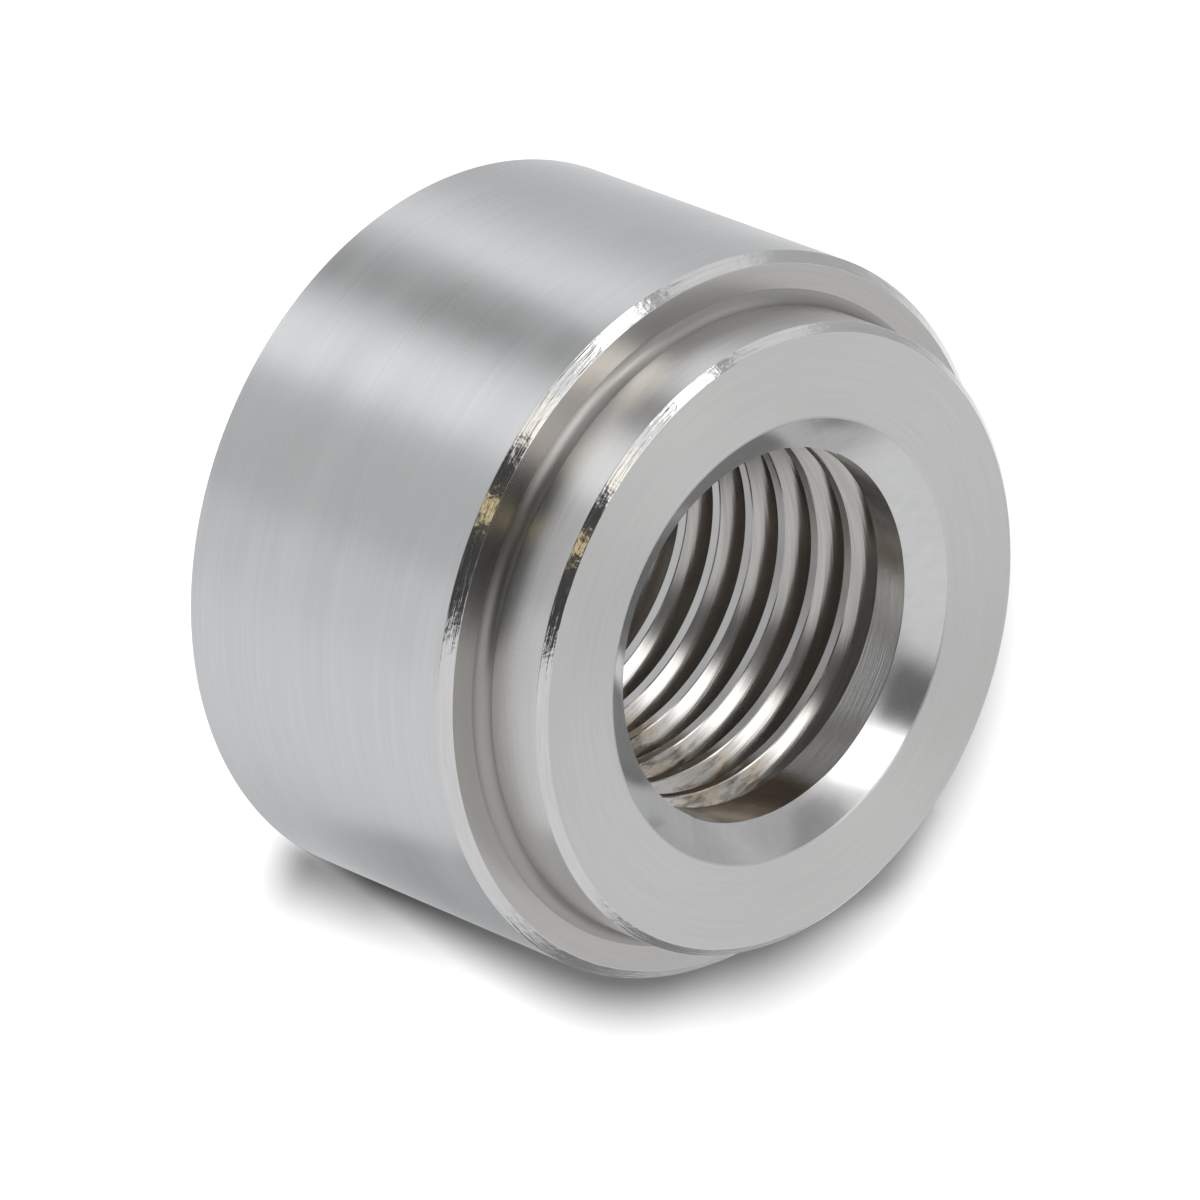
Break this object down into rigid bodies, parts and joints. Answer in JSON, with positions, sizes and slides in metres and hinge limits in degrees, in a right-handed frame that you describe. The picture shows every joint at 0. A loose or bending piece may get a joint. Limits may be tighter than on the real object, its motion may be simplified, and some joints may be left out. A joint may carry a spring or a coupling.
{
  "type": "weld bung",
  "caption": "Turned stainless weld bung: a stepped ring with a spigot, a shoulder, a countersunk mouth and a pipe-threaded port.",
  "frame": {"origin": "centre of the back face, on the bung's axis", "axes": "+Z along the axis, from the back face to the spigot; the part is round, so +X and +Y are free"},
  "size_m": [0.0222, 0.0222, 0.0136],
  "materials": {
    "stainless": "fine turned stainless steel, with polished chamfers and countersink"
  },
  "bodies": {
    "root": {"bung": "stainless"}
  },
  "joints": []
}
